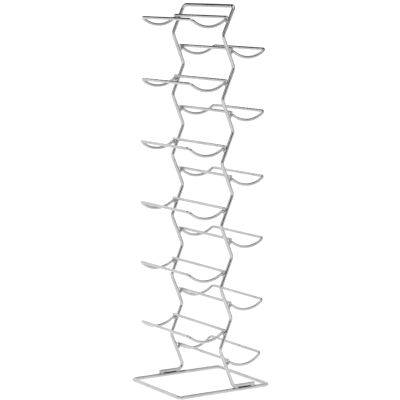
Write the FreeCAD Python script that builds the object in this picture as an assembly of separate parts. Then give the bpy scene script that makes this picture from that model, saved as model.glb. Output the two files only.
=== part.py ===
"""Free-standing wine rack bent and welded from round steel rod.

One long rod makes both zigzag uprights, the bar across their tops and the two
feet. It stands on a rectangular base ring. Six bottle cradles reach out to each
side, each a bent wire welded by its two ends to the uprights, and a straight
bottle rail lies across the two crests of every cradle.

Frame: Z is up, X is the way the cradles reach, Y runs along the bottles from the
near upright (-Y) to the far upright (+Y). The origin is the middle of the base
ring's footprint, on the floor. All sizes are in millimetres.
"""

import FreeCAD
import Part
import math
import os

# Rods and welds
FRAME_ROD = 8.0            # diameter of the frame rod and of the base ring
CRADLE_ROD = 6.5           # diameter of the cradle wires and the bottle rails
WELD_GAP = 0.3             # weld metal between the surfaces of two joined rods
WELD_PROUD = 1.1           # how far a hook's weld bead stands out round the hook
WELD_SHARE = 0.8           # other beads' radius, as a share of the rod's radius
HOOK_WELD_DEPTH = 2.3      # how far a hook's bead runs to each side of its cut end
END_ROUND = 1.0            # rounding of a rod's free ends

# Base ring
BASE_LENGTH = 236.0        # along X, between the middles of the short sides
BASE_BEND = 10.0           # bend radius of its corners, at the rod's middle

# Uprights, top bar and feet
UPRIGHT_SPACING = 200.0    # between the middles of the two uprights
CRADLES_PER_SIDE = 6
ZIGZAG_REACH = 14.6        # from the rack's middle plane to a zigzag corner
ZIGZAG_PITCH = 68.6        # height from one zigzag corner to the next
LOWEST_CORNER = 97.4       # height of the lowest zigzag corner above the floor
TOP_RISE = 63.5            # from the highest zigzag corner up to the top bar
ZIGZAG_BEND = 15.0         # bend radius of a zigzag corner
TOP_BEND = 10.0            # bend radius at the ends of the top bar
HEEL_BEND = 12.0           # bend radius where an upright turns into its foot
FOOT_RUN = 48.0            # straight length of a foot

# Cradle wire, seen along Y: hook, crest, dip, outer corner
CRADLE_REACH = 96.2        # from the rack's middle plane to the outer rail
CRADLE_LIFT = 4.2          # outer rail above the middle of its zigzag run
DIP_DEPTH = 17.0           # bottom of the dip below the outer rail
CREST_DROP = 3.6           # top of the crest below the outer rail
CREST_BEND = 6.0           # bend radius of the crest
OUTER_BEND = 8.0           # bend radius where the dip turns into the outer rail
HOOK_ANGLE = 42.0          # slope of the hook that comes down to the upright
HOOK_RUN = 0.6             # straight length of the hook

# How each cradle is welded, the lowest one first: how far above the middle of its
# zigzag run, and how many degrees its outer rail tips up
RIGHT_RAISES = (3.4, -5.8, -2.2, -1.4, 0.7, 0.2)
RIGHT_TIPS = (6.0, 0.8, -0.7, -1.4, 1.4, 0.3)
LEFT_RAISES = (3.5, -2.8, -1.6, -4.0, 0.7, 1.5)
LEFT_TIPS = (-2.2, 1.3, -0.5, 0.8, -1.5, -1.1)

# Bottle rail
RAIL_LEAN = 15.0           # degrees from the top of the crest towards the upright
RAIL_OVERHANG = 4.0        # past the middle of the cradle wire at each end

FRAME_RADIUS = FRAME_ROD / 2
CRADLE_RADIUS = CRADLE_ROD / 2
HALF_SPACING = UPRIGHT_SPACING / 2
CORNERS = 2 * CRADLES_PER_SIDE - 1
FOOT_HEIGHT = FRAME_RADIUS + FRAME_ROD + WELD_GAP
ZIGZAG_LEAN = math.atan2(2 * ZIGZAG_REACH, ZIGZAG_PITCH)
HOOK_SLOPE = math.radians(HOOK_ANGLE)
NEGLIGIBLE = 1e-5


def bent_rod(points, bends, diameter, closed=False):
    """A rod bent at each corner point to that corner's radius."""
    count = len(points)
    corners = range(count) if closed else range(1, count - 1)
    arcs = []
    for number, corner in enumerate(corners):
        here = points[corner]
        into = (here - points[corner - 1]).normalize()
        out = (points[(corner + 1) % count] - here).normalize()
        turn = into.getAngle(out)
        run = bends[number] * math.tan(turn / 2)
        inward = (out - into).normalize()
        centre = here + inward * (bends[number] / math.cos(turn / 2))
        middle = centre - inward * bends[number]
        arcs.append((here - into * run, middle, here + out * run))
    stops = [arcs[-1][2]] if closed else [points[0]]
    edges = []
    for start, middle, end in arcs:
        if stops[-1].distanceToPoint(start) < NEGLIGIBLE:
            start = stops[-1]
        else:
            edges.append(Part.LineSegment(stops[-1], start).toShape())
        edges.append(Part.Arc(start, middle, end).toShape())
        stops.append(end)
    if not closed:
        edges.append(Part.LineSegment(stops[-1], points[-1]).toShape())
    path = Part.Wire(edges)
    along = edges[0].tangentAt(edges[0].FirstParameter)
    ring = Part.Wire(Part.Circle(edges[0].Vertexes[0].Point, along, diameter / 2).toShape())
    if closed:
        return Part.Solid(path.makePipe(ring))
    return path.makePipe(Part.Face(ring))


def round_ends(rod, ends):
    """Rounds the rims of a rod's flat ends at the given end points."""
    rims = [
        edge
        for edge in rod.Edges
        if isinstance(edge.Curve, Part.Circle)
        and any(edge.Curve.Center.distanceToPoint(end) < NEGLIGIBLE for end in ends)
    ]
    return rod.makeFillet(END_ROUND, rims)


def base_ring():
    """Closed rectangular ring on the floor, its long sides under the uprights."""
    x = BASE_LENGTH / 2
    y = HALF_SPACING
    corners = [
        FreeCAD.Vector(x, y, FRAME_RADIUS),
        FreeCAD.Vector(-x, y, FRAME_RADIUS),
        FreeCAD.Vector(-x, -y, FRAME_RADIUS),
        FreeCAD.Vector(x, -y, FRAME_RADIUS),
    ]
    return bent_rod(corners, [BASE_BEND] * len(corners), FRAME_ROD, closed=True)


def corner_height(number):
    """Height of a zigzag corner, counted from the lowest, which is number 0."""
    return LOWEST_CORNER + number * ZIGZAG_PITCH


def heel_x():
    """Where the line of the lowest zigzag run meets the height of the feet."""
    fall = LOWEST_CORNER - FOOT_HEIGHT
    return -ZIGZAG_REACH + fall * math.tan(ZIGZAG_LEAN)


def toe(side):
    """End point of a foot: the far one (+1) points to -X, the near one to +X."""
    turn = math.pi / 2 + side * ZIGZAG_LEAN
    run = HEEL_BEND * math.tan(turn / 2) + FOOT_RUN
    return FreeCAD.Vector(heel_x() - side * run, side * HALF_SPACING, FOOT_HEIGHT)


def upright_points(side):
    """Corner points of one upright, from its toe to the end of the top bar."""
    y = side * HALF_SPACING
    points = [toe(side), FreeCAD.Vector(heel_x(), y, FOOT_HEIGHT)]
    for number in range(CORNERS):
        x = -ZIGZAG_REACH if number % 2 == 0 else ZIGZAG_REACH
        points.append(FreeCAD.Vector(x, y, corner_height(number)))
    top = corner_height(CORNERS - 1) + TOP_RISE
    points.append(FreeCAD.Vector(ZIGZAG_REACH, y, top))
    return points


def zigzag_frame():
    """Both uprights, the bar across their tops and the feet, from one rod."""
    points = upright_points(1) + upright_points(-1)[::-1]
    upright_bends = [HEEL_BEND] + [ZIGZAG_BEND] * CORNERS + [TOP_BEND]
    rod = bent_rod(points, upright_bends + upright_bends[::-1], FRAME_ROD)
    return round_ends(rod, [toe(1), toe(-1)])


def turned(s, h, angle):
    """A point or direction (outwards, upwards) turned so that outwards tips up."""
    c = math.cos(angle)
    n = math.sin(angle)
    return (s * c - h * n, s * n + h * c)


def stand_off(tip, lean):
    """Distance from an upright's middle line to the middle of a hook's cut end."""
    slant = HOOK_SLOPE + tip - lean
    return FRAME_RADIUS + WELD_GAP + CRADLE_RADIUS * math.sin(slant)


def crest_centre():
    """Middle of the crest bend (outwards, upwards from the outer rail's level).

    The hook's straight run past the bend ends at its stand-off from the upright.
    """
    h = -CREST_DROP - CREST_BEND
    bend_end = h + CRADLE_LIFT + CREST_BEND * math.cos(HOOK_SLOPE)
    run = HOOK_RUN * math.cos(HOOK_SLOPE - ZIGZAG_LEAN)
    reach = stand_off(0, ZIGZAG_LEAN) + run - bend_end * math.sin(ZIGZAG_LEAN)
    s = reach / math.cos(ZIGZAG_LEAN) + CREST_BEND * math.sin(HOOK_SLOPE)
    return (s, h)


def dip_arc():
    """Radius and middle of the dip, an arc that runs on from the crest bend.

    The radius is the one at which the arc, bottoming at DIP_DEPTH, leaves the
    crest bend smoothly and ends where the outer corner's bend begins.
    """
    crest_s, crest_h = crest_centre()
    width = CRADLE_REACH - crest_s
    small = width / 4
    large = width * 4
    while large - small > NEGLIGIBLE / 1000:
        radius = (small + large) / 2
        height = radius - DIP_DEPTH
        inner = math.sqrt((radius + CREST_BEND) ** 2 - (height - crest_h) ** 2)
        outer = math.sqrt(radius ** 2 + OUTER_BEND ** 2 - height ** 2)
        if inner + outer > width:
            large = radius
        else:
            small = radius
    return (radius, CRADLE_REACH - outer, height)


def cradle_profile():
    """Corner points of a cradle's near half, seen along Y, and their bends.

    Each point is (outwards, upwards) from the outer rail's level on the rack's
    middle plane: the hook's end, the crest, the dip and the outer corner.
    """
    crest_s, crest_h = crest_centre()
    radius, dip_s, dip_h = dip_arc()
    rise = math.atan2(dip_s - crest_s, dip_h - crest_h)
    corner_angle = math.atan2(CRADLE_REACH - dip_s, dip_h)
    fall = corner_angle - math.atan(OUTER_BEND / radius)

    tilt = (rise - HOOK_SLOPE) / 2
    reach = CREST_BEND / math.cos((rise + HOOK_SLOPE) / 2)
    crest = (crest_s + reach * math.sin(tilt), crest_h + reach * math.cos(tilt))

    tilt = (fall - rise) / 2
    reach = radius / math.cos((fall + rise) / 2)
    dip = (dip_s + reach * math.sin(tilt), dip_h - reach * math.cos(tilt))

    bend_end = (
        crest_s - CREST_BEND * math.sin(HOOK_SLOPE),
        crest_h + CREST_BEND * math.cos(HOOK_SLOPE),
    )
    hook = (
        bend_end[0] - HOOK_RUN * math.cos(HOOK_SLOPE),
        bend_end[1] - HOOK_RUN * math.sin(HOOK_SLOPE),
    )
    corner = (CRADLE_REACH, 0.0)
    return [hook, crest, dip, corner], [CREST_BEND, radius, OUTER_BEND]


class Seat:
    """Where one cradle is welded: side, zigzag run, tip in degrees and raise."""

    def __init__(self, side, run, tip, lift):
        """side is -1 for left and 1 for right; run 0 is the lowest zigzag run."""
        self.side = side
        self.tip = math.radians(tip)
        rise = TOP_RISE if run == CORNERS else ZIGZAG_PITCH
        lean = math.atan2(2 * ZIGZAG_REACH, rise)
        middle = corner_height(run - 1) + rise / 2
        hook_s, hook_h = cradle_profile()[0][0]
        above = hook_h + CRADLE_LIFT + lift
        across = (stand_off(self.tip, lean) - above * math.sin(lean)) / math.cos(lean)
        turned_s, turned_h = turned(hook_s, hook_h, self.tip)
        self.shift = (across - turned_s, middle + above - turned_h)

    def place(self, point, y):
        """A profile point (outwards, upwards) put in its place in the rack."""
        s, h = turned(point[0], point[1], self.tip)
        return FreeCAD.Vector(self.side * (s + self.shift[0]), y, h + self.shift[1])


def rail_middle():
    """Middle of the bottle rail in a cradle's profile."""
    crest_s, crest_h = crest_centre()
    lean = math.radians(RAIL_LEAN)
    reach = CREST_BEND + CRADLE_ROD + WELD_GAP
    return (crest_s - reach * math.sin(lean), crest_h + reach * math.cos(lean))


def cradle_wire(seat):
    """One bent wire: hook, crest and dip at each upright, and the outer rail."""
    profile, bends = cradle_profile()
    far = [seat.place(point, HALF_SPACING) for point in profile]
    near = [seat.place(point, -HALF_SPACING) for point in profile]
    return bent_rod(far + near[::-1], bends + bends[::-1], CRADLE_ROD)


def bottle_rail(seat):
    """Straight wire that lies across the two crests of a cradle."""
    half = HALF_SPACING + RAIL_OVERHANG
    start = seat.place(rail_middle(), -half)
    end = seat.place(rail_middle(), half)
    rail = Part.makeCylinder(CRADLE_RADIUS, 2 * half, start, end - start)
    return round_ends(rail, [start, end])


def bead(place, along, radius, depth, rods):
    """A weld bead: a round slug of weld metal less the rods that it joins.

    The slug is centred on the place where the rods meet, and depth is how far it
    runs to each side of there.
    """
    start = place - along * depth
    return Part.makeCylinder(radius, 2 * depth, start, along).cut(rods)


def hook_welds(seat, frame, cradle):
    """The beads that join a cradle's two hooks to the uprights."""
    profile = cradle_profile()[0]
    beads = []
    for y in (-HALF_SPACING, HALF_SPACING):
        hook = seat.place(profile[0], y)
        along = (hook - seat.place(profile[1], y)).normalize()
        radius = CRADLE_RADIUS + WELD_PROUD
        beads.append(bead(hook, along, radius, HOOK_WELD_DEPTH, [frame, cradle]))
    return beads


def rail_welds(seat, cradle, rail):
    """The beads that join a bottle rail to the two crests under it."""
    crest = crest_centre()
    rail_at = rail_middle()
    reach = math.hypot(rail_at[0] - crest[0], rail_at[1] - crest[1])
    share = (CREST_BEND + CRADLE_RADIUS + WELD_GAP / 2) / reach
    touch = tuple(c + (r - c) * share for c, r in zip(crest, rail_at))
    beads = []
    for y in (-HALF_SPACING, HALF_SPACING):
        place = seat.place(touch, y)
        along = (seat.place(rail_at, y) - place).normalize()
        radius = CRADLE_RADIUS * WELD_SHARE
        beads.append(bead(place, along, radius, CRADLE_RADIUS / 2, [cradle, rail]))
    return beads


def foot_welds(frame, ring):
    """The beads at the toe and the heel of each foot, where it lies on the ring."""
    up = FreeCAD.Vector(0, 0, 1)
    radius = FRAME_RADIUS * WELD_SHARE
    beads = []
    for side in (1, -1):
        toe_x = toe(side).x
        for x in (toe_x + side * FRAME_RADIUS, toe_x + side * FOOT_RUN):
            place = FreeCAD.Vector(x, side * HALF_SPACING, FRAME_ROD + WELD_GAP / 2)
            beads.append(bead(place, up, radius, FRAME_RADIUS / 2, [frame, ring]))
    return beads


def save(name, shape):
    """Writes one node's shape."""
    shape.exportStep(os.path.join("parts", name + ".step"))


def build_side(name, side, raises, tips, frame):
    """Builds the cradles, bottle rails and welds of one side of the rack.

    More cradles than there are raises and tips start again with the first ones.
    """
    hook_beads = []
    rail_beads = []
    for number in range(CRADLES_PER_SIDE):
        run = 2 * number + (1 if side < 0 else 0)
        tip = tips[number % len(tips)]
        lift = raises[number % len(raises)]
        seat = Seat(side, run, tip, lift)
        cradle = cradle_wire(seat)
        rail = bottle_rail(seat)
        save(f"cradle_{name}_{number + 1}", cradle)
        save(f"bottle_rail_{name}_{number + 1}", rail)
        hook_beads += hook_welds(seat, frame, cradle)
        rail_beads += rail_welds(seat, cradle, rail)
    save(f"hook_welds_{name}", Part.makeCompound(hook_beads))
    save(f"rail_welds_{name}", Part.makeCompound(rail_beads))


def main():
    """Builds every node of the rack."""
    os.makedirs("parts", exist_ok=True)
    ring = base_ring()
    frame = zigzag_frame()
    save("base_ring", ring)
    save("zigzag_frame", frame)
    save("foot_welds", Part.makeCompound(foot_welds(frame, ring)))
    build_side("left", -1, LEFT_RAISES, LEFT_TIPS, frame)
    build_side("right", 1, RIGHT_RAISES, RIGHT_TIPS, frame)


main()
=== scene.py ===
"""Chromed steel wine rack, dressed round its packed design model.

The design model gives every size and place. Each rod of it is rebuilt here as a
smooth bent rod with rounded ends, each joint gets a fillet of weld metal, and all
of it is plated with chrome. Lengths are in metres, Z is up, X is the way the
bottle cradles reach out and Y runs along the bottles.
"""

import logging
import math
from dataclasses import dataclass, field
from enum import Enum

import bpy
from mathutils import Matrix, Quaternion, Vector
from mathutils.kdtree import KDTree


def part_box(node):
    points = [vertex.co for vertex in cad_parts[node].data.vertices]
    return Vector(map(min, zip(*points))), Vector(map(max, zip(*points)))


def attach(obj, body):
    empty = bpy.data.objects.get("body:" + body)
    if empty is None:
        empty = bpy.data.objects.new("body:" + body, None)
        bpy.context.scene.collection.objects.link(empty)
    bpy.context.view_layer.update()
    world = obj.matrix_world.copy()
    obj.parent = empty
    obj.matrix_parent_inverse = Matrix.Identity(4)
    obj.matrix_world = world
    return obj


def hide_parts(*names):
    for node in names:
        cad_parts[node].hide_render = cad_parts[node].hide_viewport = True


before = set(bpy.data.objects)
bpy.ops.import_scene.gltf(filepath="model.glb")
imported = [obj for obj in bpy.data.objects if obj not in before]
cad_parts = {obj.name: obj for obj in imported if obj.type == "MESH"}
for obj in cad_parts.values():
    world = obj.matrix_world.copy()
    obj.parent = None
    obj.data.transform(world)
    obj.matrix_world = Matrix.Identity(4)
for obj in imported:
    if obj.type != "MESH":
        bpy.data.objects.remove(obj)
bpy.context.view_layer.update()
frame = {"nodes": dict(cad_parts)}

LOG = logging.getLogger("wine_rack")
MM = 0.001
NEGLIGIBLE = 0.001 * MM
MERGE_DISTANCE = 0.01 * MM
PRECISION = 1e-6 * MM
FIT_LIMIT = 0.1 * MM
ROD_COORDINATES = "rod_coordinates"
# Name of the mask of the painted shade near the welds and along the foot crevices.
PAINTED_SHADE_NEAR_WELDS = "painted_shade_near_welds"


class Side(Enum):
    """The two sides that the bottle cradles reach out to."""

    LEFT = -1
    RIGHT = 1

    @property
    def word(self) -> str:
        """The side's name as it stands in node names."""
        return self.name.lower()


class Slot(Enum):
    """The finishes of the rack, by the names of their slots."""

    FRAME = "frame_chrome"
    CRADLE = "cradle_chrome"
    WELD = "weld_chrome"


class Upright(Enum):
    """The two uprights, by the sign of their place along Y."""

    NEAR = -1
    FAR = 1


# ----------------------------------------------------------------------- shaders


class Socket:
    """A shader value that takes part in Python arithmetic."""

    def __init__(self, graph: "Graph", output: bpy.types.NodeSocket | None) -> None:
        """Wraps an output socket.

        Args:
            graph: The node graph that the socket belongs to.
            output: The output socket of a node, or None if the node has none.
        """
        self.graph = graph
        self.output = output

    def _math(self, operation: str, first: object, second: object) -> "Socket":
        """Adds one Math node and returns its value.

        Args:
            operation: The node's operation.
            first: Its first value, a number or a Socket.
            second: Its second value.

        Returns:
            The result.
        """
        return self.graph.node(
            "ShaderNodeMath", {"operation": operation}, {0: first, 1: second}
        )

    def __add__(self, other: object) -> "Socket":
        """This value plus another."""
        return self._math("ADD", self, other)

    def __radd__(self, other: object) -> "Socket":
        """Another value plus this one."""
        return self._math("ADD", other, self)

    def __mul__(self, other: object) -> "Socket":
        """This value times another."""
        return self._math("MULTIPLY", self, other)

    def __rmul__(self, other: object) -> "Socket":
        """Another value times this one."""
        return self._math("MULTIPLY", other, self)


class Graph:
    """The node graph of one material."""

    def __init__(self, name: str) -> None:
        """Makes a material with an empty graph.

        Args:
            name: The material's name.
        """
        self.material = bpy.data.materials.new(name)
        self.material.use_nodes = True
        self.tree = self.material.node_tree
        self.tree.nodes.clear()

    def node(
        self,
        kind: str,
        settings: dict[str, object] | None = None,
        inputs: dict[str | int, object] | None = None,
        output: str | int = 0,
    ) -> Socket:
        """Adds a node, sets it up and returns one of its outputs.

        Args:
            kind: The node's type.
            settings: Its properties; "stops" sets the stops of a colour ramp.
            inputs: A value or a Socket for each input, by name or number.
            output: The name or number of the output to return.

        Returns:
            The chosen output, wrapped; a node without outputs gives an empty wrap.
        """
        made = self.tree.nodes.new(kind)
        for key, value in (settings or {}).items():
            if key == "stops":
                self._set_stops(made.color_ramp, value)
            else:
                setattr(made, key, value)
        for key, value in (inputs or {}).items():
            if isinstance(value, Socket):
                self.tree.links.new(value.output, made.inputs[key])
            else:
                made.inputs[key].default_value = value
        return Socket(self, made.outputs[output] if made.outputs else None)

    @staticmethod
    def _set_stops(ramp: bpy.types.ColorRamp, stops: list[tuple[float, float]]) -> None:
        """Puts grey stops, each a place and a level, on a colour ramp.

        Args:
            ramp: The colour ramp.
            stops: Each stop's place and grey level.
        """
        while len(ramp.elements) < len(stops):
            ramp.elements.new(0.5)
        for element, (place, level) in zip(ramp.elements, stops):
            element.position = place
            element.color = (level, level, level, 1.0)


@dataclass(frozen=True)
class Chrome:
    """Bright chrome plate over polished steel.

    The plate is a clear mirror with a slow waviness left by the drawn rod under
    it, fine lines along the rod, and a thin uneven film of handling marks that dulls
    it a little. Near the welds and along the crevices under the feet the plate is
    duller and its colour is darkened towards near-black: partly thin dull plate,
    partly painted shade of the crevices.
    """

    slot: Slot
    tint: tuple[float, float, float] = (0.56, 0.565, 0.57)
    film_tint: tuple[float, float, float] = (0.50, 0.50, 0.495)
    # Near-black colour that the plate is mixed towards near the welds: painted shade of the
    # crevices there.
    painted_shade_tint: tuple[float, float, float] = (0.015, 0.015, 0.014)
    gloss: float = 0.05
    film_gloss: float = 0.13
    weld_gloss: float = 0.24
    film_size: float = 34 * MM
    film_edges: tuple[float, float] = (0.42, 0.72)
    wave_size: float = 5.5 * MM
    wave_strength: float = 0.10
    line_width: float = 0.30 * MM
    line_length: float = 24 * MM
    line_strength: float = 0.05
    ripple_size: float = 1.1 * MM
    ripple_strength: float = 0.0
    weld_ripple: float = 0.12
    # How strongly and how unevenly the plate near the welds is dulled and darkened with painted
    # shade.
    dulling_and_shade_depth: float = 0.55
    dulling_and_shade_mottle: float = 0.9

    def material(self) -> bpy.types.Material:
        """Builds the finish.

        Returns:
            The material, named after its slot.
        """
        graph = Graph(self.slot.value)
        place = graph.node("ShaderNodeTexCoord", output="Object")
        rod = graph.node(
            "ShaderNodeAttribute", {"attribute_name": ROD_COORDINATES}, output="Vector"
        )
        film = self._film(graph, place)
        weld_nearness = graph.node(
            "ShaderNodeAttribute", {"attribute_name": PAINTED_SHADE_NEAR_WELDS}, output="Fac"
        )
        speckle = self._noise(graph, place, self.ripple_size, 2.0)
        # Dull plate and painted shade: near the welds and the foot crevices the mask dulls the
        # plate and darkens its colour towards near-black.
        dull_plate_and_painted_shade = weld_nearness * (self.dulling_and_shade_depth + self.dulling_and_shade_mottle * speckle)
        dull = film * (self.film_gloss - self.gloss) + self.gloss
        roughness = dull + dull_plate_and_painted_shade * (self.weld_gloss - self.gloss)
        plate = self._mix(graph, film, self.tint, self.film_tint)
        # Painted shade: the plate's colour is mixed towards near-black where the mask is high.
        colour = self._mix(graph, dull_plate_and_painted_shade, plate, self.painted_shade_tint)
        shader = graph.node(
            "ShaderNodeBsdfPrincipled",
            None,
            {
                "Base Color": colour,
                "Metallic": 1.0,
                "Roughness": roughness,
                "Normal": self._relief(graph, place, rod, weld_nearness, speckle),
            },
            "BSDF",
        )
        graph.node("ShaderNodeOutputMaterial", None, {"Surface": shader})
        return graph.material

    def _film(self, graph: Graph, place: Socket) -> Socket:
        """Where the thin film of handling marks lies, from 0 to 1.

        Args:
            graph: The finish's node graph.
            place: The point on the rack.

        Returns:
            How thick the film is there.
        """
        cloud = self._noise(graph, place, self.film_size, 4.0)
        bare, full = self.film_edges
        stops = [(bare, 0.0), (full, 1.0)]
        return graph.node("ShaderNodeValToRGB", {"stops": stops}, {"Fac": cloud})

    def _relief(
        self, graph: Graph, place: Socket, rod: Socket, weld_nearness: Socket, speckle: Socket
    ) -> Socket:
        """The surface's fine relief, as a bumped normal.

        Args:
            graph: The finish's node graph.
            place: The point on the rack.
            rod: The point on the rod as if it were straight.
            weld_nearness: How near the point is to a weld.
            speckle: Fine noise.

        Returns:
            The bumped normal.
        """
        wave = self._noise(graph, place, self.wave_size, 1.0)
        along = graph.node(
            "ShaderNodeMapping",
            None,
            {
                "Vector": rod,
                "Scale": (1 / self.line_width, 1 / self.line_width, 1 / self.line_length),
            },
        )
        lines = graph.node(
            "ShaderNodeTexNoise", None, {"Vector": along, "Scale": 1.0, "Detail": 1.0}, "Fac"
        )
        waves = wave * (self.wave_strength * self.wave_size)
        drawn = lines * (self.line_strength * self.line_width)
        plain = self.ripple_strength * self.ripple_size
        ripple = speckle * (weld_nearness * (self.weld_ripple * self.ripple_size) + plain)
        height = waves + drawn + ripple
        return graph.node(
            "ShaderNodeBump", None, {"Height": height, "Strength": 1.0, "Distance": 1.0}
        )

    @staticmethod
    def _noise(graph: Graph, place: Socket, size: float, detail: float) -> Socket:
        """Cloudy noise whose lumps are about the given size.

        Args:
            graph: The finish's node graph.
            place: The point on the rack.
            size: The size of a lump.
            detail: How many finer layers it has.

        Returns:
            The noise, about 0.5 in the mean.
        """
        return graph.node(
            "ShaderNodeTexNoise",
            None,
            {"Vector": place, "Scale": 1 / size, "Detail": detail},
            "Fac",
        )

    @staticmethod
    def _mix(graph: Graph, factor: Socket, first: object, second: object) -> Socket:
        """A colour between two others.

        Args:
            graph: The finish's node graph.
            factor: 0 for the first colour, 1 for the second.
            first: A colour, as three numbers or a Socket.
            second: The other colour.

        Returns:
            The mixed colour.
        """
        colours = [c if isinstance(c, Socket) else (*c, 1.0) for c in (first, second)]
        return graph.node(
            "ShaderNodeMix",
            {"data_type": "RGBA"},
            {"Factor": factor, 6: colours[0], 7: colours[1]},
            2,
        )


# ------------------------------------------------------------------------- rods


class Edit:
    """A stretch of work in edit mode on one object, from start to finish."""

    def __init__(self, piece: bpy.types.Object) -> None:
        """Names the piece to edit."""
        self.piece = piece

    def __enter__(self) -> "Edit":
        """Opens the piece in edit mode, with nothing selected.

        Returns:
            This stretch of work.
        """
        select_only(self.piece)
        bpy.ops.object.mode_set(mode="EDIT")
        bpy.ops.mesh.select_mode(type="FACE")
        bpy.ops.mesh.select_all(action="DESELECT")
        return self

    def __exit__(self, *problem: object) -> None:
        """Goes back to object mode."""
        bpy.ops.object.mode_set(mode="OBJECT")


def select_only(*pieces: bpy.types.Object) -> None:
    """Selects these objects and nothing else; the last one is the active one.

    Args:
        pieces: The objects.
    """
    bpy.ops.object.select_all(action="DESELECT")
    for piece in pieces:
        piece.select_set(True)
        bpy.context.view_layer.objects.active = piece


def apply_place(piece: bpy.types.Object) -> None:
    """Puts a piece's place in its mesh, so that its object is at the origin."""
    select_only(piece)
    bpy.ops.object.transform_apply(location=True, rotation=True, scale=True)


def copy_of(piece: bpy.types.Object, name: str) -> bpy.types.Object:
    """A copy of a piece, with a mesh of its own.

    Args:
        piece: The piece to copy.
        name: The copy's name.

    Returns:
        The copy, in the same place.
    """
    select_only(piece)
    bpy.ops.object.duplicate(linked=False)
    made = bpy.context.view_layer.objects.active
    made.name = name
    made.data.name = name
    return made


def joined(parts: list[bpy.types.Object], name: str) -> bpy.types.Object:
    """Joins parts into one piece and names it.

    Args:
        parts: The objects, which are used up.
        name: The piece's name.

    Returns:
        The piece.
    """
    select_only(*parts)
    bpy.ops.object.join()
    made = bpy.context.view_layer.objects.active
    made.name = name
    made.data.name = name
    return made


def moved(piece: bpy.types.Object, place: Matrix) -> bpy.types.Object:
    """Moves a piece by a matrix and puts its new place in its mesh.

    Args:
        piece: The piece.
        place: The matrix.

    Returns:
        The same piece.
    """
    piece.matrix_world = place
    apply_place(piece)
    return piece


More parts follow.
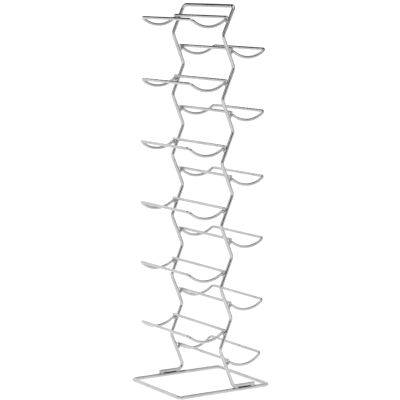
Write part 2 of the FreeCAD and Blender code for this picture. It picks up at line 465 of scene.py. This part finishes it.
@dataclass
class BentRod:
    """A round rod bent along a path of straight runs and round bends."""

    points: list[Vector]
    bends: list[float]
    diameter: float
    closed: bool = False
    round_ends: bool = True
    sides: int = 32
    end_round: float = 1.0 * MM
    run_step: float = 3.0 * MM
    bend_step: float = math.radians(7)
    end_segments: int = 4
    stations: list[tuple[Vector, Quaternion, float]] = field(default_factory=list)

    def build(self, name: str) -> bpy.types.Object:
        """Models the rod: a round face pushed along the path.

        Args:
            name: The piece's name.

        Returns:
            The finished, smooth-shaded rod.
        """
        corners = self._corners()
        start = corners[-1][1] if self.closed else self.points[0]
        direction = (corners[0][0] if corners else self.points[-1]) - start
        turn = direction.to_track_quat("Z", "Y")
        bpy.ops.object.select_all(action="DESELECT")
        bpy.ops.mesh.primitive_circle_add(
            vertices=self.sides,
            radius=self.diameter / 2,
            fill_type="NGON",
            location=start,
            rotation=turn.to_euler(),
        )
        rod = bpy.context.view_layer.objects.active
        rod.name = name
        rod.data.name = name
        apply_place(rod)
        self.stations = [(start.copy(), turn, 0.0)]
        with Edit(rod):
            bpy.ops.mesh.select_all(action="SELECT")
            for bend_start, bend_end, centre, axis, angle in corners:
                self._run_to(bend_start)
                self._bend(bend_end, centre, axis, angle)
            if not self.closed:
                self._run_to(self.points[-1])
            self._finish_ends()
        self._record_coordinates(rod)
        select_only(rod)
        bpy.ops.object.shade_smooth()
        return rod

    def _corners(self) -> list[tuple[Vector, Vector, Vector, Vector, float]]:
        """Start, end, centre, axis and angle of the bend at each corner.

        Returns:
            One row for each corner, in order along the rod.
        """
        count = len(self.points)
        numbers = range(count) if self.closed else range(1, count - 1)
        corners = []
        for radius, number in zip(self.bends, numbers):
            here = self.points[number]
            into = (here - self.points[number - 1]).normalized()
            out = (self.points[(number + 1) % count] - here).normalized()
            angle = into.angle(out)
            run = radius * math.tan(angle / 2)
            inward = (out - into).normalized()
            centre = here + inward * (radius / math.cos(angle / 2))
            axis = into.cross(out).normalized()
            corners.append((here - into * run, here + out * run, centre, axis, angle))
        return corners

    def _run_to(self, end: Vector) -> None:
        """Pushes the selected end face straight to a point, in even steps.

        Args:
            end: The point.
        """
        here, turn, length = self.stations[-1]
        run = (end - here).length
        if run < NEGLIGIBLE:
            return
        steps = max(1, round(run / self.run_step))
        step = (end - here) / steps
        bpy.ops.mesh.extrude_repeat(steps=steps, offset=step)
        for number in range(1, steps + 1):
            travelled = length + run * number / steps
            self.stations.append((here + step * number, turn, travelled))

    def _bend(self, end: Vector, centre: Vector, axis: Vector, angle: float) -> None:
        """Spins the selected end face round the middle of a bend.

        The spin operator turns clockwise about its axis, so it is given the
        opposite of the bend's axis.

        Args:
            end: Where the bend should end.
            centre: The middle of the bend.
            axis: The axis that it turns about.
            angle: How far it turns.
        """
        here, turn, length = self.stations[-1]
        steps = max(2, math.ceil(angle / self.bend_step))
        bpy.ops.mesh.spin(steps=steps, angle=angle, center=centre, axis=-axis)
        arm = here - centre
        for number in range(1, steps + 1):
            part = Quaternion(axis, angle * number / steps)
            travelled = length + arm.length * angle * number / steps
            self.stations.append((centre + part @ arm, part @ turn, travelled))
        drift = (self.stations[-1][0] - end).length
        if drift > NEGLIGIBLE:
            LOG.warning("a bend ended %.4f mm off", drift / MM)

    def _finish_ends(self) -> None:
        """Rounds the two cut ends, or joins them if the rod is a closed ring."""
        bpy.ops.mesh.select_all(action="DESELECT")
        bpy.ops.mesh.select_face_by_sides(number=self.sides)
        if self.closed:
            bpy.ops.mesh.delete(type="ONLY_FACE")
            bpy.ops.mesh.select_all(action="SELECT")
            bpy.ops.mesh.remove_doubles(threshold=MERGE_DISTANCE)
        elif self.round_ends:
            bpy.ops.mesh.region_to_loop()
            bpy.ops.mesh.bevel(
                offset=self.end_round, segments=self.end_segments, affect="EDGES"
            )
        bpy.ops.mesh.select_all(action="SELECT")
        bpy.ops.mesh.normals_make_consistent(inside=False)

    def _record_coordinates(self, rod: bpy.types.Object) -> None:
        """Stores each point's place on the rod as if it had never been bent.

        Args:
            rod: The rod.
        """
        tree = KDTree(len(self.stations))
        for number, (middle, _, _) in enumerate(self.stations):
            tree.insert(middle, number)
        tree.balance()
        layer = rod.data.attributes.new(ROD_COORDINATES, "FLOAT_VECTOR", "POINT")
        for point, value in zip(rod.data.vertices, layer.data):
            number = tree.find(point.co)[1]
            middle, turn, length = self.stations[number]
            offset = turn.inverted() @ (point.co - middle)
            value.vector = (offset.x, offset.y, offset.z + length)


def stub(start: Vector, end: Vector, radius: float, sides: int = 24) -> bpy.types.Object:
    """A short cylinder to be melted into a fillet.

    Args:
        start: The middle of one end.
        end: The middle of the other end.
        radius: The cylinder's radius.
        sides: How many sides it has.

    Returns:
        The cylinder.
    """
    axis = end - start
    bpy.ops.object.select_all(action="DESELECT")
    bpy.ops.mesh.primitive_cylinder_add(
        vertices=sides,
        radius=radius,
        depth=axis.length,
        location=(start + end) / 2,
        rotation=axis.to_track_quat("Z", "Y").to_euler(),
    )
    made = bpy.context.view_layer.objects.active
    apply_place(made)
    return made


@dataclass
class Fillet:
    """Weld metal that runs smoothly from one rod on to another."""

    grain: float = 0.32 * MM
    soften: int = 9
    softness: float = 0.5
    keep: float = 0.45

    def build(self, name: str, parts: list[bpy.types.Object]) -> bpy.types.Object:
        """Melts stubs of the rods and of the weld metal into one smooth body.

        Args:
            name: The fillet's name.
            parts: The stubs, which are used up.

        Returns:
            The fillet, a closed smooth-shaded body.
        """
        made = joined(parts, name)
        self._modify(made, "REMESH", mode="VOXEL", voxel_size=self.grain)
        self._modify(made, "SMOOTH", factor=self.softness, iterations=self.soften)
        self._modify(made, "DECIMATE", ratio=self.keep)
        select_only(made)
        bpy.ops.object.shade_smooth()
        return made

    @staticmethod
    def _modify(piece: bpy.types.Object, kind: str, **settings: object) -> None:
        """Adds a modifier with its settings and applies it.

        Args:
            piece: The piece to change.
            kind: The modifier's type.
            settings: The modifier's properties.
        """
        select_only(piece)
        bpy.ops.object.modifier_add(type=kind)
        modifier = piece.modifiers[-1]
        for key, value in settings.items():
            setattr(modifier, key, value)
        bpy.ops.object.modifier_apply(modifier=modifier.name)


# ------------------------------------------------------------------ sub-assemblies


@dataclass
class Piece:
    """A finished piece and the design nodes that it stands for."""

    made: bpy.types.Object
    nodes: list[str]
    slot: Slot

    def fit(self, finish: bpy.types.Material) -> None:
        """Gives the piece its finish and ties it to the frame.

        Args:
            finish: The material of the piece's slot.
        """
        self.made.data.materials.clear()
        self.made.data.materials.append(finish)
        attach(self.made, "root")
        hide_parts(*self.nodes)
        faces = len(self.made.data.polygons)
        LOG.info("%s: %d faces, stands for %s", self.made.name, faces, ", ".join(self.nodes))
        if self.slot is not Slot.WELD:
            self._report_fit()

    def _report_fit(self) -> None:
        """Reports a rod whose box differs from the box of its design nodes."""
        boxes = [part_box(node) for node in self.nodes]
        places = [vertex.co for vertex in self.made.data.vertices]
        off = 0.0
        for axis in range(3):
            spread = [place[axis] for place in places]
            low = min(box[0][axis] for box in boxes)
            high = max(box[1][axis] for box in boxes)
            off = max(off, abs(min(spread) - low), abs(max(spread) - high))
        if off > FIT_LIMIT:
            LOG.warning("%s: box differs from the design by %.2f mm", self.made.name, off / MM)


@dataclass
class Rods:
    """The two rod sizes of the rack and how they meet.

    A fillet's stubs lie the inset under the rods' surfaces, so that it runs out
    on them.
    """

    frame: float = 8.0 * MM
    cradle: float = 6.5 * MM
    weld_gap: float = 0.3 * MM
    inset: float = 0.10 * MM


@dataclass
class BaseRing:
    """The closed rectangular ring that the rack stands on."""

    rods: Rods
    bend: float = 10.0 * MM
    sides: int = 40
    node: str = "base_ring"

    def build(self) -> Piece:
        """Models the ring from its box.

        Returns:
            The ring.
        """
        low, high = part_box(self.node)
        radius = self.rods.frame / 2
        x = high.x - radius
        y = high.y - radius
        z = low.z + radius
        quarters = ((x, y), (-x, y), (-x, -y), (x, -y))
        corners = [Vector((*place, z)) for place in quarters]
        bends = [self.bend] * len(corners)
        rod = BentRod(corners, bends, self.rods.frame, closed=True, sides=self.sides)
        return Piece(rod.build("base_ring_rod"), [self.node], Slot.FRAME)


@dataclass
class ZigzagFrame:
    """Both uprights, the top bar and the two feet, bent from one rod."""

    rods: Rods
    reach: float = 14.6 * MM
    pitch: float = 68.6 * MM
    corners: int = 11
    lowest_corner: float = 97.4 * MM
    corner_bend: float = 15.0 * MM
    top_bend: float = 10.0 * MM
    heel_bend: float = 12.0 * MM
    sides: int = 40
    node: str = "zigzag_frame"

    @property
    def lean(self) -> float:
        """How far a zigzag run leans from upright, as an angle."""
        return math.atan2(2 * self.reach, self.pitch)

    @property
    def top_lean(self) -> float:
        """How far the run from the highest corner to the top bar leans."""
        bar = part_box(self.node)[1].z - self.rods.frame / 2
        return math.atan2(2 * self.reach, bar - self.corner(self.corners - 1)[1])

    def corner(self, number: int) -> tuple[float, float]:
        """Place along X and height of a zigzag corner, counted from the lowest."""
        x = -self.reach if number % 2 == 0 else self.reach
        return (x, self.lowest_corner + number * self.pitch)

    def heel(self) -> Vector:
        """Where the lowest zigzag run meets the feet, at the far upright.

        Returns:
            The corner point of the heel.
        """
        low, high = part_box(self.node)
        foot = low.z + self.rods.frame / 2
        x = -self.reach + (self.lowest_corner - foot) * math.tan(self.lean)
        return Vector((x, high.y - self.rods.frame / 2, foot))

    def _upright(self, side: Upright) -> list[Vector]:
        """Corner points of one upright, from its toe to the end of the top bar.

        Args:
            side: Which upright.

        Returns:
            The points, from the toe upwards.
        """
        low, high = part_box(self.node)
        heel = self.heel()
        y = side.value * heel.y
        toe_x = low.x if side is Upright.FAR else high.x
        points = [Vector((toe_x, y, heel.z)), Vector((heel.x, y, heel.z))]
        for number in range(self.corners):
            x, z = self.corner(number)
            points.append(Vector((x, y, z)))
        points.append(Vector((self.reach, y, high.z - self.rods.frame / 2)))
        return points

    def build(self) -> Piece:
        """Models the frame from toe to toe.

        Returns:
            The frame.
        """
        points = self._upright(Upright.FAR) + self._upright(Upright.NEAR)[::-1]
        bends = [self.heel_bend] + [self.corner_bend] * self.corners + [self.top_bend]
        rod = BentRod(points, bends + bends[::-1], self.rods.frame, sides=self.sides)
        return Piece(rod.build("zigzag_frame_rod"), [self.node], Slot.FRAME)


@dataclass
class CradleShape:
    """The bend of a cradle wire and its bottle rail, seen along Y.

    Its own origin is the middle of the outer rail. Outwards is +X, so the
    uprights are on its -X side. The stub, sink and bead sizes are those of the
    weld metal's short pieces.
    """

    rods: Rods
    lean: float
    reach: float = 96.2 * MM
    lift: float = 4.2 * MM
    dip_depth: float = 17.0 * MM
    crest_drop: float = 3.6 * MM
    crest_bend: float = 6.0 * MM
    outer_bend: float = 8.0 * MM
    hook_slope: float = math.radians(42.0)
    hook_run: float = 0.6 * MM
    rail_lean: float = math.radians(15.0)
    crest_stub: float = 1.6 * MM
    crest_sink: float = 0.12 * MM
    rail_stub: float = 4.0 * MM
    rail_bead: float = 1.6 * MM
    rail_bead_share: float = 0.8
    hook_stub: float = 0.6 * MM
    hook_sink: float = 0.8 * MM
    hook_bead: tuple[float, float] = (1.5 * MM, 2.3 * MM)
    hook_bead_proud: float = 0.9 * MM
    upright_stub: float = 7.0 * MM
    sample: str = "cradle_right_2"
    sample_rail: str = "bottle_rail_right_2"

    def __post_init__(self) -> None:
        """Works out where the crest bend and the bottle rail are."""
        radius = self.rods.cradle / 2
        self.half_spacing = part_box(self.sample)[1].y - radius
        self.half_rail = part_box(self.sample_rail)[1].y
        crest_z = -self.crest_drop - self.crest_bend
        bend_end = crest_z + self.lift + self.crest_bend * math.cos(self.hook_slope)
        run = self.hook_run * math.cos(self.hook_slope - self.lean)
        stand_off = self.stand_off(self.hook_slope - self.lean)
        across = (stand_off + run - bend_end * math.sin(self.lean)) / math.cos(self.lean)
        crest_x = across + self.crest_bend * math.sin(self.hook_slope) - self.reach
        self.crest = Vector((crest_x, 0.0, crest_z))
        step = self.crest_bend + self.rods.cradle + self.rods.weld_gap
        self.rail = self.crest + self._towards(-self.rail_lean, step)

    def stand_off(self, slant: float) -> float:
        """Distance from an upright's middle line to the cut end of a hook at a slant."""
        return self.rods.frame / 2 + self.rods.weld_gap + self.rods.cradle / 2 * math.sin(slant)

    def dip(self) -> tuple[float, Vector]:
        """Radius and middle of the dip's arc.

        The arc runs on from the crest bend, touches the dip's lowest level and
        ends where the outer bend begins.

        Returns:
            The radius, and the middle from the outer rail.
        """
        width = -self.crest.x
        small = width / 4
        large = width * 4
        while large - small > PRECISION:
            radius = (small + large) / 2
            height = radius - self.dip_depth
            inner = math.sqrt((radius + self.crest_bend) ** 2 - (height - self.crest.z) ** 2)
            outer = math.sqrt(radius**2 + self.outer_bend**2 - height**2)
            if inner + outer > width:
                large = radius
            else:
                small = radius
        return radius, Vector((-outer, 0.0, height))

    def profile(self) -> tuple[list[Vector], list[float]]:
        """Corner points hook, crest, dip and outer corner, and their bends.

        Returns:
            The points, and the bend radius at each point after the first.
        """
        radius, middle = self.dip()
        step = middle - self.crest
        rise = math.atan2(step.x, step.z)
        fall = math.atan2(-middle.x, middle.z) - math.atan(self.outer_bend / radius)
        crest = self.crest + self._towards(
            (rise - self.hook_slope) / 2,
            self.crest_bend / math.cos((rise + self.hook_slope) / 2),
        )
        dip = middle - self._towards(
            -(fall - rise) / 2,
            radius / math.cos((fall + rise) / 2),
        )
        bend_end = self.crest + self._towards(-self.hook_slope, self.crest_bend)
        run = Vector((math.cos(self.hook_slope), 0.0, math.sin(self.hook_slope)))
        hook = bend_end - run * self.hook_run
        return [hook, crest, dip, Vector()], [self.crest_bend, radius, self.outer_bend]

    @staticmethod
    def _towards(tilt: float, length: float) -> Vector:
        """A step of the given length, tilted outwards from straight up."""
        return Vector((math.sin(tilt), 0.0, math.cos(tilt))) * length

    def wire(self) -> bpy.types.Object:
        """Models the bent wire of one cradle.

        Returns:
            The wire, in the cradle's own frame.
        """
        profile, bends = self.profile()
        far = [point + Vector((0.0, self.half_spacing, 0.0)) for point in profile]
        near = [point - Vector((0.0, self.half_spacing, 0.0)) for point in profile]
        rod = BentRod(
            far + near[::-1], bends + bends[::-1], self.rods.cradle, round_ends=False
        )
        return rod.build("cradle_pattern")

    def rail_wire(self) -> bpy.types.Object:
        """Models the straight rail that lies on the two crests.

        Returns:
            The rail, in the cradle's own frame.
        """
        half = Vector((0.0, self.half_rail, 0.0))
        rod = BentRod([self.rail + half, self.rail - half], [], self.rods.cradle)
        return rod.build("rail_pattern")

    def rail_fillet(self) -> bpy.types.Object:
        """Weld metal between the crest at the near upright and the rail on it.

        Returns:
            The fillet, in the cradle's own frame.
        """
        radius = self.rods.cradle / 2
        near = Vector((0.0, -self.half_spacing, 0.0))
        across = (self.rail - self.crest).normalized()
        crest_run = Vector((across.z, 0.0, -across.x)) * self.crest_stub
        rail_run = Vector((0.0, self.rail_stub, 0.0))
        bead_run = across * self.rail_bead
        top = near + self.crest + across * self.crest_bend - across * self.crest_sink
        rail = near + self.rail
        touch = self.crest_bend + radius + self.rods.weld_gap / 2
        bead = near + self.crest + across * touch
        parts = [
            stub(top - crest_run, top + crest_run, radius - 2 * self.rods.inset),
            stub(rail - rail_run, rail + rail_run, radius - self.rods.inset),
            stub(bead - bead_run, bead + bead_run, radius * self.rail_bead_share),
        ]
        return Fillet().build("rail_fillet_pattern", parts)

    def hook_fillet(self, lean: float) -> bpy.types.Object:
        """Weld metal between the hook at the near upright and the upright.

        Args:
            lean: How far the upright leans towards the cradle's back, going up.

        Returns:
            The fillet, in the cradle's own frame.
        """
        radius = self.rods.cradle / 2
        frame_radius = self.rods.frame / 2
        profile, _ = self.profile()
        hook = Vector((0.0, -self.half_spacing, 0.0)) + profile[0]
        along = (profile[0] - profile[1]).normalized()
        upright = Vector((-math.sin(lean), 0.0, math.cos(lean)))
        outwards = Vector((math.cos(lean), 0.0, math.sin(lean)))
        stand = frame_radius + self.rods.weld_gap + radius * abs(along.dot(upright))
        middle = hook - outwards * stand
        run = upright * self.upright_stub
        reach = stand - frame_radius + self.hook_sink
        back, ahead = self.hook_bead
        parts = [
            stub(hook - along * self.hook_stub, hook + along * reach, radius - self.rods.inset),
            stub(middle - run, middle + run, frame_radius - self.rods.inset),
            stub(hook - along * back, hook + along * ahead, radius + self.hook_bead_proud),
        ]
        return Fillet().build("hook_fillet_pattern", parts)


@dataclass
class Cradles:
    """The six cradles of one side, with their bottle rails and welds."""

    side: Side
    shape: CradleShape
    frame: ZigzagFrame
    left_tips: tuple[float, ...] = (-2.2, 1.3, -0.5, 0.8, -1.5, -1.1)
    right_tips: tuple[float, ...] = (6.0, 0.8, -0.7, -1.4, 1.4, 0.3)
    # How far the painted shade reaches round each hook weld and each rail weld.
    hook_reach: float = 6.0 * MM
    rail_reach: float = 5.0 * MM

    @property
    def numbers(self) -> range:
        """The cradles' numbers, from 1 at the bottom."""
        return range(1, len(self.left_tips) + 1)

    def tip(self, number: int) -> float:
        """How far a cradle's outer rail tips up, as an angle."""
        tips = self.right_tips if self.side is Side.RIGHT else self.left_tips
        return math.radians(tips[number - 1])

    def lean(self, number: int) -> float:
        """How far the zigzag run behind a cradle leans from upright."""
        top = self.side is Side.LEFT and number == self.numbers[-1]
        return self.frame.top_lean if top else self.frame.lean

    def seat(self, number: int) -> Matrix:
        """Where a cradle is in the rack, from the box of its bottle rail.

        Args:
            number: The cradle's number, from 1 at the bottom.

        Returns:
            The matrix that puts the pattern cradle there.
        """
        low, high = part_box(f"bottle_rail_{self.side.word}_{number}")
        turn = 0.0 if self.side is Side.RIGHT else math.pi
        return (
            Matrix.Translation((low + high) / 2)
            @ Matrix.Rotation(turn, 4, "Z")
            @ Matrix.Rotation(-self.tip(number), 4, "Y")
            @ Matrix.Translation(-self.shape.rail)
        )

    def build(self, wire: bpy.types.Object, rail: bpy.types.Object) -> list[Piece]:
        """Copies the pattern wire and rail to each cradle's place.

        Args:
            wire: The pattern of a cradle wire.
            rail: The pattern of a bottle rail.

        Returns:
            The side's wires and rails.
        """
        pieces = []
        for number in self.numbers:
            seat = self.seat(number)
            for pattern, kind, node in ((wire, "wire", "cradle"), (rail, "rail", "bottle_rail")):
                label = f"{self.side.word}_{number}"
                made = moved(copy_of(pattern, f"cradle_{kind}_{label}"), seat)
                pieces.append(Piece(made, [f"{node}_{label}"], Slot.CRADLE))
        return pieces

    def spots(self) -> list[tuple[Vector, float]]:
        """Where the side's hooks and rails are welded, and how far the painted shade round each
        reaches.

        Returns:
            The middle and the reach of each weld.
        """
        shape = self.shape
        hook = shape.profile()[0][0]
        rail = shape.rail + (shape.crest - shape.rail).normalized() * shape.rods.cradle / 2
        found = []
        for number in self.numbers:
            for y in (-shape.half_spacing, shape.half_spacing):
                for place, reach in ((hook, self.hook_reach), (rail, self.rail_reach)):
                    end = self.seat(number) @ (place + Vector((0.0, y, 0.0)))
                    found.append((end, reach))
        return found

    def weld_hooks(self) -> Piece:
        """Models the fillets between all the side's hooks and the uprights.

        Returns:
            The fillets, as one piece.
        """
        patterns = [
            self.shape.hook_fillet(self.lean(number) - self.tip(number))
            for number in self.numbers
        ]
        return self._weld(patterns, "hook")

    def weld_rails(self) -> Piece:
        """Models the fillets between all the side's bottle rails and crests.

        Returns:
            The fillets, as one piece.
        """
        pattern = self.shape.rail_fillet()
        copies = [copy_of(pattern, "rail_fillet_copy") for _ in self.numbers[1:]]
        return self._weld([pattern, *copies], "rail")

    def _weld(self, patterns: list[bpy.types.Object], kind: str) -> Piece:
        """Puts each cradle's fillet at both its ends and joins them all.

        Args:
            patterns: Each cradle's fillet at the near end, in its own frame.
            kind: What is welded, hook or rail.

        Returns:
            All of the side's fillets of that kind, as one piece.
        """
        across = Matrix.Translation((0.0, 2 * self.shape.half_spacing, 0.0))
        fillets = []
        for number, pattern in zip(self.numbers, patterns):
            seat = self.seat(number)
            fillets.append(moved(copy_of(pattern, "far_fillet"), seat @ across))
            fillets.append(moved(pattern, seat))
        word = self.side.word
        return Piece(joined(fillets, f"{kind}_fillets_{word}"), [f"{kind}_welds_{word}"], Slot.WELD)


@dataclass
class FootWelds:
    """The welds at the toe and the heel of each foot, where it lies on the ring."""

    rods: Rods
    frame: ZigzagFrame
    length: float = 9.0 * MM
    toe_run: float = 5.0 * MM
    foot_run: float = 48.0 * MM
    bead_share: float = 0.62
    stub_long: float = 1.3
    stub_short: float = 0.8
    # How far the painted shade reaches from each foot's crevice, and at how many points.
    crevice_reach: float = 5.5 * MM
    crevice_points: int = 40

    def build(self) -> Piece:
        """Models the four fillets between the feet and the base ring.

        Returns:
            The fillets, as one piece.
        """
        low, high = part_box(self.frame.node)
        heel = self.frame.heel()
        toes = {Upright.FAR: low.x, Upright.NEAR: high.x}
        fillets = []
        for side, toe_x in toes.items():
            for run in (self.toe_run, self.foot_run):
                foot = Vector((toe_x + side.value * run, side.value * heel.y, heel.z))
                fillets.append(self._fillet(foot))
        return Piece(joined(fillets, "foot_fillets"), ["foot_welds"], Slot.WELD)

    def spots(self) -> list[tuple[Vector, float]]:
        """Points along the crevice between each foot and the ring, where shade is painted, and
        their reach.

        Returns:
            The place and the reach of each point.
        """
        low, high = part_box(self.frame.node)
        heel = self.frame.heel()
        found = []
        for toe_x, y in ((low.x, heel.y), (high.x, -heel.y)):
            for number in range(self.crevice_points + 1):
                x = toe_x + (heel.x - toe_x) * number / self.crevice_points
                found.append((Vector((x, y, self.rods.frame)), self.crevice_reach))
        return found

    def _fillet(self, foot: Vector) -> bpy.types.Object:
        """One fillet in the crevice under a foot.

        Args:
            foot: The middle of the foot's rod above the weld.

        Returns:
            The fillet.
        """
        radius = self.rods.frame / 2
        under = radius - self.rods.inset
        half = Vector((self.length / 2, 0.0, 0.0))
        ring = Vector((foot.x, foot.y, radius))
        between = (foot + ring) / 2
        parts = [
            stub(foot - half * self.stub_long, foot + half * self.stub_short, under),
            stub(ring - half * self.stub_long, ring + half * self.stub_long, under),
            stub(between - half, between + half, radius * self.bead_share),
        ]
        return Fillet().build("foot_fillet", parts)


# ----------------------------------------------------------------------- studio


@dataclass(frozen=True)
class Card:
    """A flat card that the chrome mirrors but the camera doesn't see."""

    name: str
    middle: Vector
    facing: Vector
    width: float
    height: float
    glow: float

    def build(self) -> None:
        """Stands the card up, facing the rack."""
        bpy.ops.object.select_all(action="DESELECT")
        bpy.ops.mesh.primitive_plane_add(
            size=1.0,
            location=self.middle,
            rotation=self.facing.to_track_quat("Z", "Y").to_euler(),
        )
        card = bpy.context.view_layer.objects.active
        card.name = self.name
        card.scale = (self.width, self.height, 1.0)
        graph = Graph(self.name)
        shade = graph.node(
            "ShaderNodeEmission", None, {"Color": (self.glow,) * 3 + (1.0,), "Strength": 1.0}
        )
        graph.node("ShaderNodeOutputMaterial", None, {"Surface": shade})
        card.data.materials.append(graph.material)
        card.visible_camera = False
        card.visible_shadow = False
        card.visible_diffuse = False


@dataclass
class Studio:
    """White floor and pale room, with cards round the rack and soft light."""

    floor_size: float = 400.0
    floor_white: float = 0.40
    floor_glow: float = 0.82
    floor_roughness: float = 0.9
    room: float = 0.80
    lamp_place: Vector = field(default_factory=lambda: Vector((-0.6, -0.4, 2.6)))
    lamp_aim: Vector = field(default_factory=lambda: Vector((0.0, 0.0, 0.4)))
    lamp_size: float = 1.6
    lamp_power: float = 8.0
    cards: tuple[Card, ...] = (
        Card("card_behind", Vector((0.05, 0.55, 0.475)), Vector((0, -1, 0)), 1.5, 0.95, 1.05),
        Card("flag_behind", Vector((0.05, 0.60, 1.55)), Vector((0, -1, 0)), 2.2, 1.2, 0.03),
        Card("flag_left", Vector((-1.0, -0.2, 1.9)), Vector((1, 0, 0)), 2.6, 1.0, 0.32),
        Card("flag_front", Vector((-1.27, -2.72, 1.2)), Vector((0.42, 0.91, 0)), 3.1, 1.5, 0.02),
        Card("card_right", Vector((0.42, -0.42, 0.465)), Vector((-1, 1, 0)), 1.0, 0.93, 0.82),
        Card("flag_right", Vector((0.42, -0.42, 1.33)), Vector((-1, 1, 0)), 1.4, 0.8, 0.20),
    )

    def build(self) -> None:
        """Makes the floor, the room, the cards round the rack and the light."""
        self._floor()
        self._room()
        for card in self.cards:
            card.build()
        self._lamp()

    def _floor(self) -> None:
        """A wide white floor."""
        bpy.ops.object.select_all(action="DESELECT")
        bpy.ops.mesh.primitive_plane_add(size=self.floor_size)
        floor = bpy.context.view_layer.objects.active
        floor.name = "studio_floor"
        graph = Graph("studio_white")
        shader = graph.node(
            "ShaderNodeBsdfPrincipled",
            None,
            {
                "Base Color": (self.floor_white,) * 3 + (1.0,),
                "Roughness": self.floor_roughness,
                "Specular IOR Level": 0.0,
                "Emission Color": (1.0, 1.0, 1.0, 1.0),
                "Emission Strength": self.floor_glow,
            },
            "BSDF",
        )
        graph.node("ShaderNodeOutputMaterial", None, {"Surface": shader})
        floor.data.materials.append(graph.material)

    def _room(self) -> None:
        """An evenly pale room round the floor."""
        world = bpy.data.worlds.new("studio_room")
        bpy.context.scene.world = world
        world.use_nodes = True
        colour = world.node_tree.nodes["Background"].inputs["Color"]
        colour.default_value = (self.room,) * 3 + (1.0,)

    def _lamp(self) -> None:
        """A large soft light above."""
        bpy.ops.object.light_add(type="AREA", location=self.lamp_place)
        lamp = bpy.context.view_layer.objects.active
        lamp.name = "light_above"
        lamp.data.size = self.lamp_size
        lamp.data.energy = self.lamp_power
        lamp.visible_camera = False
        beam = self.lamp_aim - self.lamp_place
        lamp.rotation_euler = beam.to_track_quat("-Z", "Y").to_euler()


@dataclass
class ViewCamera:
    """A long lens a few steps away, to the left of the rack's near end."""

    place: Vector = field(default_factory=lambda: Vector((-1.9768, -3.0049, 0.8993)))
    azimuth: float = math.radians(-33.281)
    elevation: float = math.radians(7.632)
    roll: float = math.radians(0.458)
    lens: float = 147.0
    sight: float = 400.0

    def build(self) -> None:
        """Makes the camera the scene's own."""
        flat = math.cos(self.elevation)
        back = Vector(
            (
                math.sin(self.azimuth) * flat,
                -math.cos(self.azimuth) * flat,
                math.sin(self.elevation),
            )
        )
        right = Vector((math.cos(self.azimuth), math.sin(self.azimuth), 0.0))
        up = back.cross(right)
        across = right * math.cos(self.roll) + up * math.sin(self.roll)
        upward = up * math.cos(self.roll) - right * math.sin(self.roll)
        bpy.ops.object.camera_add(location=self.place)
        camera = bpy.context.view_layer.objects.active
        camera.name = "view_camera"
        camera.rotation_euler = Matrix((across, upward, back)).transposed().to_euler()
        camera.data.lens = self.lens
        camera.data.clip_end = self.sight
        bpy.context.scene.camera = camera


@dataclass
class PaintedWeldShade:
    """Painted shade and duller plate near the welds and the foot crevices.

    Each spot is the middle of a weld, or a point along a foot crevice, and how far
    the painted shade round it reaches.
    """

    spots: list[tuple[Vector, float]]
    fade: float = 0.8

    def __post_init__(self) -> None:
        """Sorts the spots by place, to find the nearest one fast."""
        self.tree = KDTree(len(self.spots))
        for number, (place, _) in enumerate(self.spots):
            self.tree.insert(place, number)
        self.tree.balance()

    def mark(self, rod: bpy.types.Object) -> None:
        """Stores how near each point of a rod is to a spot, from 0 to 1, as the mask of the painted
        shade.

        Args:
            rod: The rod.
        """
        layer = rod.data.attributes.new(PAINTED_SHADE_NEAR_WELDS, "FLOAT", "POINT")
        for point, value in zip(rod.data.vertices, layer.data):
            _, number, distance = self.tree.find(point.co)
            value.value = max(0.0, 1.0 - distance / self.spots[number][1]) ** self.fade


FINISHES = (
    Chrome(Slot.FRAME),
    Chrome(Slot.CRADLE),
    Chrome(
        Slot.WELD,
        tint=(0.56, 0.557, 0.55),
        film_tint=(0.46, 0.455, 0.45),
        gloss=0.06,
        film_gloss=0.18,
        ripple_strength=0.20,
    ),
)


def build_rack() -> list[Piece]:
    """Models every piece of the rack and marks its rods for painted shade near the welds.

    Returns:
        The pieces, each with the design nodes that it stands for.
    """
    rods = Rods()
    ring = BaseRing(rods)
    zigzag = ZigzagFrame(rods)
    shape = CradleShape(rods, zigzag.lean)
    feet = FootWelds(rods, zigzag)
    pieces = [ring.build(), zigzag.build()]
    wire = shape.wire()
    rail = shape.rail_wire()
    spots = feet.spots()
    for side in Side:
        cradles = Cradles(side, shape, zigzag)
        pieces += cradles.build(wire, rail)
        pieces.append(cradles.weld_hooks())
        pieces.append(cradles.weld_rails())
        spots += cradles.spots()
    pieces.append(feet.build())
    for pattern in (wire, rail):
        bpy.data.objects.remove(pattern)
    # Painted shade: the rods are marked near the welds and along the foot crevices, where their
    # colour is darkened.
    shade = PaintedWeldShade(spots)
    for piece in pieces:
        if piece.slot is not Slot.WELD:
            shade.mark(piece.made)
    return pieces


def main() -> None:
    """Builds the rack, its finishes and the studio round it."""
    logging.basicConfig(level=logging.INFO, format="%(message)s")
    bpy.context.scene.view_settings.view_transform = "Standard"
    pieces = build_rack()
    dressed = {finish.slot: finish.material() for finish in FINISHES}
    for piece in pieces:
        piece.fit(dressed[piece.slot])
    Studio().build()
    ViewCamera().build()


if __name__ == "__main__":
    main()
